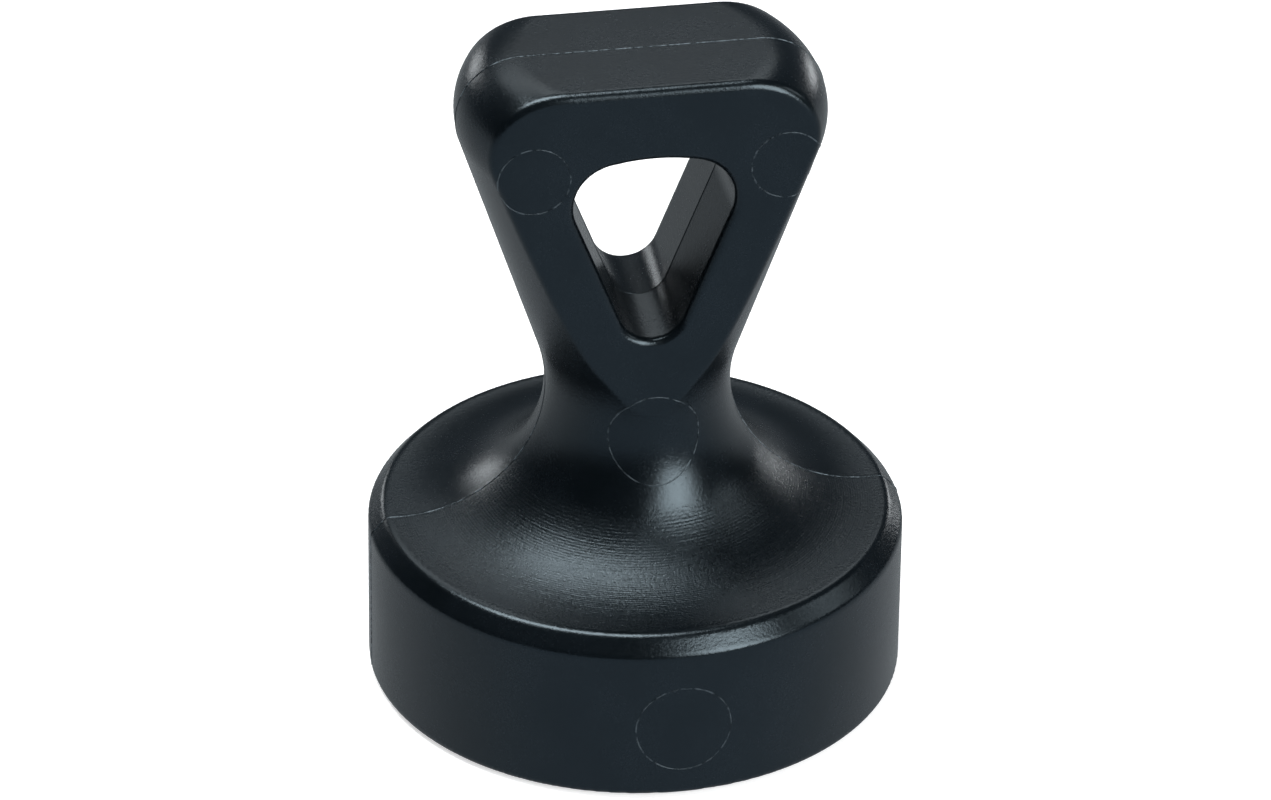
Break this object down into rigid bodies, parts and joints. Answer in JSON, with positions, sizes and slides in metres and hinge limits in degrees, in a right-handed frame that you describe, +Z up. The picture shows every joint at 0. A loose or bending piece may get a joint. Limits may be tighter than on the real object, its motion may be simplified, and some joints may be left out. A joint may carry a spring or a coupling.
{
  "type": "magnet fishing magnet",
  "caption": "Pot magnet screwed and sealed into a black moulded plastic housing, whose round base sweeps up through a neck into a flared loop handle for a rope or a finger.",
  "frame": {"origin": "middle of the magnetic face, the lowest plane of the part", "axes": "+Z up from the magnetic face through the loop, X across the loop's width, the eye of the loop open along Y"},
  "size_m": [0.06, 0.06, 0.078],
  "materials": {
    "black_plastic": "satin moulded, slightly blue black",
    "plated_steel": "zinc plated, turned",
    "nickel_plate": "bright nickel plate with light scuffs",
    "potting_resin": "cast, slightly sunk",
    "screw_steel": "stainless, fine turned",
    "brass": "machined",
    "seal_rubber": "matt black nitrile"
  },
  "bodies": {
    "root": {"handle_housing": "black_plastic", "steel_pot": "plated_steel", "ring_magnet": "nickel_plate", "countersunk_bush": "plated_steel", "outer_resin_ring": "potting_resin", "inner_resin_ring": "potting_resin", "countersunk_screw": "screw_steel", "threaded_insert": "brass", "sealing_ring": "seal_rubber"}
  },
  "joints": []
}
